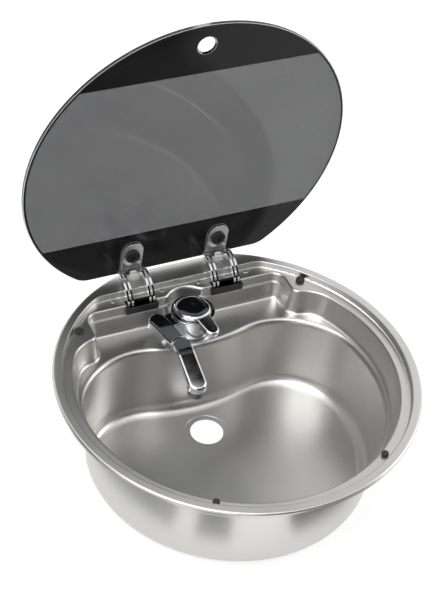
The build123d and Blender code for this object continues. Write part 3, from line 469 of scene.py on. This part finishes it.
def print_outline():
    """Print's edge: the pane's outline set in a little, with a bay round each hinge tab."""
    radius, corner = pane_radius - print_inset, pane_corner - print_inset
    corner_s = print_inset + corner
    corner_x = sqrt((radius - corner) ** 2 - (pane_centre - corner_s) ** 2)
    meet = atan2(corner_s - pane_centre, corner_x)
    points = []
    for tab_x in hinge_places:
        points.append((tab_x - tab_clear, print_inset))
        points += circle_points(tab_x, tab_round_s, tab_clear, pi, 0, 24)
        points.append((tab_x + tab_clear, print_inset))
    points += circle_points(corner_x, corner_s, corner, -pi / 2, meet, 12)
    points += circle_points(0, pane_centre, radius, meet, pi - meet, 160)[1:-1]
    points += circle_points(-corner_x, corner_s, corner, pi - meet, 1.5 * pi, 12)
    return points


def flat_sheet(name, outlines, thickness, centre_w):
    """Thin sheet on the pane, cut from closed outlines of which the later ones are holes."""
    curve = bpy.data.curves.new(name, "CURVE")
    curve.dimensions = "2D"
    curve.fill_mode = "BOTH"
    curve.extrude = thickness / 2
    for outline in outlines:
        spline = curve.splines.new("POLY")
        spline.points.add(len(outline) - 1)
        spline.use_cyclic_u = True
        for point, (x, s) in zip(spline.points, outline):
            point.co = (x, s, 0, 1)
    drawn = bpy.data.objects.new(name + "_outline", curve)
    bpy.context.scene.collection.objects.link(drawn)
    graph = bpy.context.evaluated_depsgraph_get()
    mesh = bpy.data.meshes.new_from_object(drawn.evaluated_get(graph))
    bpy.data.objects.remove(drawn)
    mesh.name = name
    for vertex in mesh.vertices:
        x, s, w = vertex.co
        vertex.co = pane_origin + Vector((x, 0, 0)) + pane_s * s + pane_w * (w + centre_w)
    sheet = bpy.data.objects.new(name, mesh)
    bpy.context.scene.collection.objects.link(sheet)
    return sheet


finger_edge = circle_points(0, finger_s, finger_clear, 0, 2 * pi, 48)[:-1]
print_middle = print_clear + print_thickness / 2
lid_print = flat_sheet("lid_print", (print_outline(), finger_edge), print_thickness, print_middle)

# Fired enamel. Where the screen's dots leave gaps, the sheet is clear and the glass shows.
dot_pitch = 0.0014
dot_share = 0.4066
dot_radius = dot_share * dot_pitch
dot_row = dot_pitch * sqrt(3) / 2
dot_soft = 0.00006
band_rear_s = 0.063
band_front_s = 0.292
border_width = 0.0035
enamel, tree, links = new_material("black_enamel")
shader = tree.new("ShaderNodeBsdfPrincipled")
shader.inputs["Specular IOR Level"].default_value = 0.15
place = put_group(tree, pane_map, {})
rear_band = spread(tree, links, place.outputs["S"], band_rear_s, band_rear_s - dot_soft, 0.0, 1.0)
front_band = spread(tree, links, place.outputs["S"], band_front_s, band_front_s + dot_soft, 0.0, 1.0)
border_start = pane_radius - border_width
border = spread(tree, links, place.outputs["Radius"], border_start, border_start + dot_soft, 0.0, 1.0)
dot_place = tree.new("ShaderNodeCombineXYZ")
links.new(place.outputs["X"], dot_place.inputs["X"])
links.new(place.outputs["S"], dot_place.inputs["Y"])
dots = []
for shift in ((0, 0, 0), (dot_pitch / 2, dot_row, 0)):
    shifted = tree.new("ShaderNodeVectorMath")
    shifted.operation = "ADD"
    shifted.inputs[1].default_value = shift
    links.new(dot_place.outputs[0], shifted.inputs[0])
    cell = tree.new("ShaderNodeVectorMath")
    cell.operation = "WRAP"
    cell.inputs[1].default_value = (dot_pitch / 2, dot_row, 1)
    cell.inputs[2].default_value = (-dot_pitch / 2, -dot_row, -1)
    links.new(shifted.outputs[0], cell.inputs[0])
    distance = tree.new("ShaderNodeVectorMath")
    distance.operation = "LENGTH"
    links.new(cell.outputs[0], distance.inputs[0])
    dots.append(spread(tree, links, distance.outputs["Value"], dot_radius, dot_radius - dot_soft, 0.0, 1.0))
links.new(largest(tree, links, [rear_band, front_band, border] + dots), shader.inputs["Alpha"])
wear_and_highlight_node = put_group(tree, wear_and_highlight, {"Cloud Scale": 8.0, "Grain Scale": 2500.0, "Edge": 0.0001})
fired = blend(tree, links, wear_and_highlight_node.outputs["Cloud"], (0.007, 0.007, 0.0075), (0.011, 0.011, 0.012))
links.new(fired, shader.inputs["Base Color"])
links.new(spread(tree, links, wear_and_highlight_node.outputs["Cloud"], 0.0, 1.0, 0.10, 0.18), shader.inputs["Roughness"])
relief = tree.new("ShaderNodeBump")
relief.inputs["Distance"].default_value = 0.000004
links.new(wear_and_highlight_node.outputs["Grain"], relief.inputs["Height"])
links.new(relief.outputs[0], shader.inputs["Normal"])
out = tree.new("ShaderNodeOutputMaterial")
links.new(shader.outputs[0], out.inputs["Surface"])
lid_print.data.materials.append(enamel)
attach(lid_print, "lid")


# ---- Lid screws and discs -----------------------------------------------------------------------
# Two blackened socket-head screws pass through the tabs, soft pads and glass. They are tightened
# into plated discs on the lid's outer face, and soft sleeves keep them off the drilled glass.

black_steel = finish(
    "black_steel",
    colors=((0.02, 0.02, 0.021), (0.035, 0.034, 0.034), (0.16, 0.155, 0.15)),
    roughness=(0.32, 0.45, 0.3),
    grain_depth=0.00001,
    metallic=0.6,
    Cloud_Scale=150.0,
    Grain_Scale=2200.0,
    Edge=0.0003,
)
dress(black_steel, "lid_screws")

chrome = finish(
    "polished_chrome",
    colors=((0.77, 0.78, 0.80), (0.74, 0.75, 0.77), (0.84, 0.845, 0.86)),
    roughness=(0.035, 0.075, 0.05),
    grain_depth=0.000001,
    metallic=1.0,
    Cloud_Scale=60.0,
    Grain_Scale=1800.0,
    Edge=0.0004,
)
dress(chrome, "lid_discs")

soft_plastic = finish(
    "soft_plastic",
    colors=((0.05, 0.05, 0.052), (0.07, 0.07, 0.072), (0.10, 0.10, 0.10)),
    roughness=(0.45, 0.6, 0.5),
    grain_depth=0.00001,
    Cloud_Scale=120.0,
    Grain_Scale=2400.0,
    Edge=0.0003,
)
dress(soft_plastic, "lid_sleeves", "leaf_pad_left", "leaf_pad_right")


# ---- Hinges -------------------------------------------------------------------------------------
# Each tab is a plated stamping with a bridge strip at its foot. Four gooseneck plates hang from it
# on short pins and turn on a steel pin below the deck, pinched between black friction washers. A
# black moulded cup hides each pivot below the deck.

plated_steel = finish(
    "plated_steel",
    colors=((0.84, 0.845, 0.85), (0.80, 0.805, 0.81), (0.90, 0.90, 0.90)),
    roughness=(0.17, 0.26, 0.15),
    grain_depth=0.000004,
    metallic=1.0,
    Cloud_Scale=70.0,
    Grain_Scale=1600.0,
    Edge=0.0005,
)
dress(plated_steel, "hinge_leaf_left", "hinge_leaf_right")
dress(chrome, "hinge_arms_left", "hinge_arms_right")

cut_steel = finish(
    "cut_steel",
    colors=((0.52, 0.52, 0.515), (0.60, 0.60, 0.59), (0.70, 0.70, 0.69)),
    roughness=(0.26, 0.38, 0.22),
    grain_depth=0.000015,
    metallic=1.0,
    Cloud_Scale=90.0,
    Grain_Scale=1500.0,
    Draw_X=0.15,
    Edge=0.0004,
)
dress(cut_steel, "arm_pins_left", "arm_pins_right", "hinge_pin_left", "hinge_pin_right")
dress(cut_steel, "hinge_base_left", "hinge_base_right")

black_plastic = finish(
    "black_plastic",
    colors=((0.014, 0.014, 0.0145), (0.024, 0.024, 0.024), (0.05, 0.05, 0.05)),
    roughness=(0.38, 0.5, 0.42),
    grain_depth=0.00002,
    Cloud_Scale=120.0,
    Grain_Scale=2600.0,
    Edge=0.0004,
)
dress(black_plastic, "hinge_washers_left", "hinge_washers_right")
dress(black_plastic, "hinge_well_left", "hinge_well_right")


# ---- Slot inserts and rivets --------------------------------------------------------------------
# A moulded guard lines each opening in the deck where the goosenecks swing through. Four plain
# steel rivets, set from above with low domed heads, hold the hinge bases under the deck.

dress(black_plastic, "slot_insert_left", "slot_insert_right")
dress(cut_steel, "hinge_rivets")


# ---- Tap body -----------------------------------------------------------------------------------
# One brass casting, polished and chromed: the barrel with the oblong arm beside it. Its shank goes
# through the tap deck and is threaded for the lock nut.

dress(chrome, "tap_body")

brass = finish(
    "turned_brass",
    colors=((0.60, 0.46, 0.24), (0.52, 0.39, 0.20), (0.72, 0.58, 0.33)),
    roughness=(0.25, 0.4, 0.2),
    grain_depth=0.00001,
    metallic=1.0,
    Cloud_Scale=110.0,
    Grain_Scale=1600.0,
    Draw_Z=4.0,
    Edge=0.0004,
)

thread_radius = 0.0167
thread_depth = 0.0006
thread_pitch = 0.0015
thread_low = 0.0625
thread_count = 14
tap_place = (0.0, 0.125, thread_low)
thread_tree = bpy.data.node_groups.new("shank_thread", "GeometryNodeTree")
thread_tree.interface.new_socket("Geometry", in_out="OUTPUT", socket_type="NodeSocketGeometry")
thread_sizes = {}
for label, kind, value in (
    ("Radius", "NodeSocketFloat", thread_radius),
    ("Depth", "NodeSocketFloat", thread_depth),
    ("Pitch", "NodeSocketFloat", thread_pitch),
    ("Rings", "NodeSocketInt", thread_count),
):
    thread_sizes[label] = (thread_tree.interface.new_socket(label, in_out="INPUT", socket_type=kind), value)
tree, links = thread_tree.nodes, thread_tree.links
thread_in = tree.new("NodeGroupInput")
thread_out = tree.new("NodeGroupOutput")
ring = tree.new("GeometryNodeCurvePrimitiveCircle")
ring.inputs["Resolution"].default_value = 64
links.new(thread_in.outputs["Radius"], ring.inputs["Radius"])
tooth = tree.new("GeometryNodeCurvePrimitiveCircle")
tooth.inputs["Resolution"].default_value = 6
links.new(thread_in.outputs["Depth"], tooth.inputs["Radius"])
turned_ring = tree.new("GeometryNodeCurveToMesh")
links.new(ring.outputs["Curve"], turned_ring.inputs["Curve"])
links.new(tooth.outputs["Curve"], turned_ring.inputs["Profile Curve"])
step = tree.new("ShaderNodeCombineXYZ")
links.new(thread_in.outputs["Pitch"], step.inputs["Z"])
stack = tree.new("GeometryNodeMeshLine")
links.new(thread_in.outputs["Rings"], stack.inputs["Count"])
links.new(step.outputs[0], stack.inputs["Offset"])
rings = tree.new("GeometryNodeInstanceOnPoints")
links.new(stack.outputs["Mesh"], rings.inputs["Points"])
links.new(turned_ring.outputs["Mesh"], rings.inputs["Instance"])
real = tree.new("GeometryNodeRealizeInstances")
links.new(rings.outputs["Instances"], real.inputs["Geometry"])
dressed = tree.new("GeometryNodeSetMaterial")
dressed.inputs["Material"].default_value = brass
links.new(real.outputs["Geometry"], dressed.inputs["Geometry"])
links.new(dressed.outputs["Geometry"], thread_out.inputs["Geometry"])


def grow_mesh(name, tree, sizes, place):
    """Plain mesh that a Geometry Nodes tree makes with its own sizes, put in its place."""
    seed = bpy.data.objects.new(name + "_seed", bpy.data.meshes.new(name + "_seed"))
    bpy.context.scene.collection.objects.link(seed)
    modifier = seed.modifiers.new("form", "NODES")
    modifier.node_group = tree
    for socket, value in sizes.values():
        modifier[socket.identifier] = value
    graph = bpy.context.evaluated_depsgraph_get()
    mesh = bpy.data.meshes.new_from_object(seed.evaluated_get(graph))
    bpy.data.objects.remove(seed)
    mesh.name = name
    for vertex in mesh.vertices:
        vertex.co += Vector(place)
    piece = bpy.data.objects.new(name, mesh)
    bpy.context.scene.collection.objects.link(piece)
    return piece


shank_thread = grow_mesh("shank_thread", thread_tree, thread_sizes, tap_place)
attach(shank_thread, "sink")


# ---- Tap fixings --------------------------------------------------------------------------------
# A rubber gasket lies under the barrel. A steel washer and a large brass lock nut pull the tap down
# on the deck from below.

dress(plug_rubber, "tap_gasket")
dress(cut_steel, "tap_clamp_washer")
dress(brass, "tap_lock_nut")


# ---- Cartridge ----------------------------------------------------------------------------------
# The white moulded mixing valve is held down in the barrel by a notched brass ring nut. Its brass
# spindle carries the cross pin that the lever tilts on.

white_plastic = finish(
    "white_plastic",
    colors=((0.74, 0.74, 0.72), (0.68, 0.68, 0.66), (0.80, 0.80, 0.79)),
    roughness=(0.3, 0.42, 0.35),
    grain_depth=0.00001,
    Cloud_Scale=130.0,
    Grain_Scale=2400.0,
    Edge=0.0003,
)
dress(white_plastic, "cartridge")
dress(brass, "cartridge_nut", "cartridge_spindle")
dress(cut_steel, "lever_pin")


# ---- Lever --------------------------------------------------------------------------------------
# A chromed casting: a thin dome over the barrel with a nose to the front. It lifts on the cross pin
# to open the water and turns to mix it.

dress(chrome, "tap_lever")


# ---- Spout --------------------------------------------------------------------------------------
# A slim chromed arm that swivels on a shoulder screw in the tap body's lug, over a thin sliding ring.

dress(chrome, "spout")
dress(cut_steel, "spout_screw")
dress(black_plastic, "spout_ring")


# ---- Aerator ------------------------------------------------------------------------------------
# A short dark nozzle screws into the spout's tip, and a white strainer with fine holes snaps into it.

satin_nozzle = finish(
    "satin_nozzle",
    colors=((0.16, 0.16, 0.16), (0.21, 0.21, 0.205), (0.34, 0.34, 0.335)),
    roughness=(0.28, 0.4, 0.25),
    grain_depth=0.00001,
    metallic=1.0,
    Cloud_Scale=120.0,
    Grain_Scale=2200.0,
    Draw_Z=4.0,
    Edge=0.0003,
)
dress(satin_nozzle, "aerator")
dress(white_plastic, "aerator_insert")
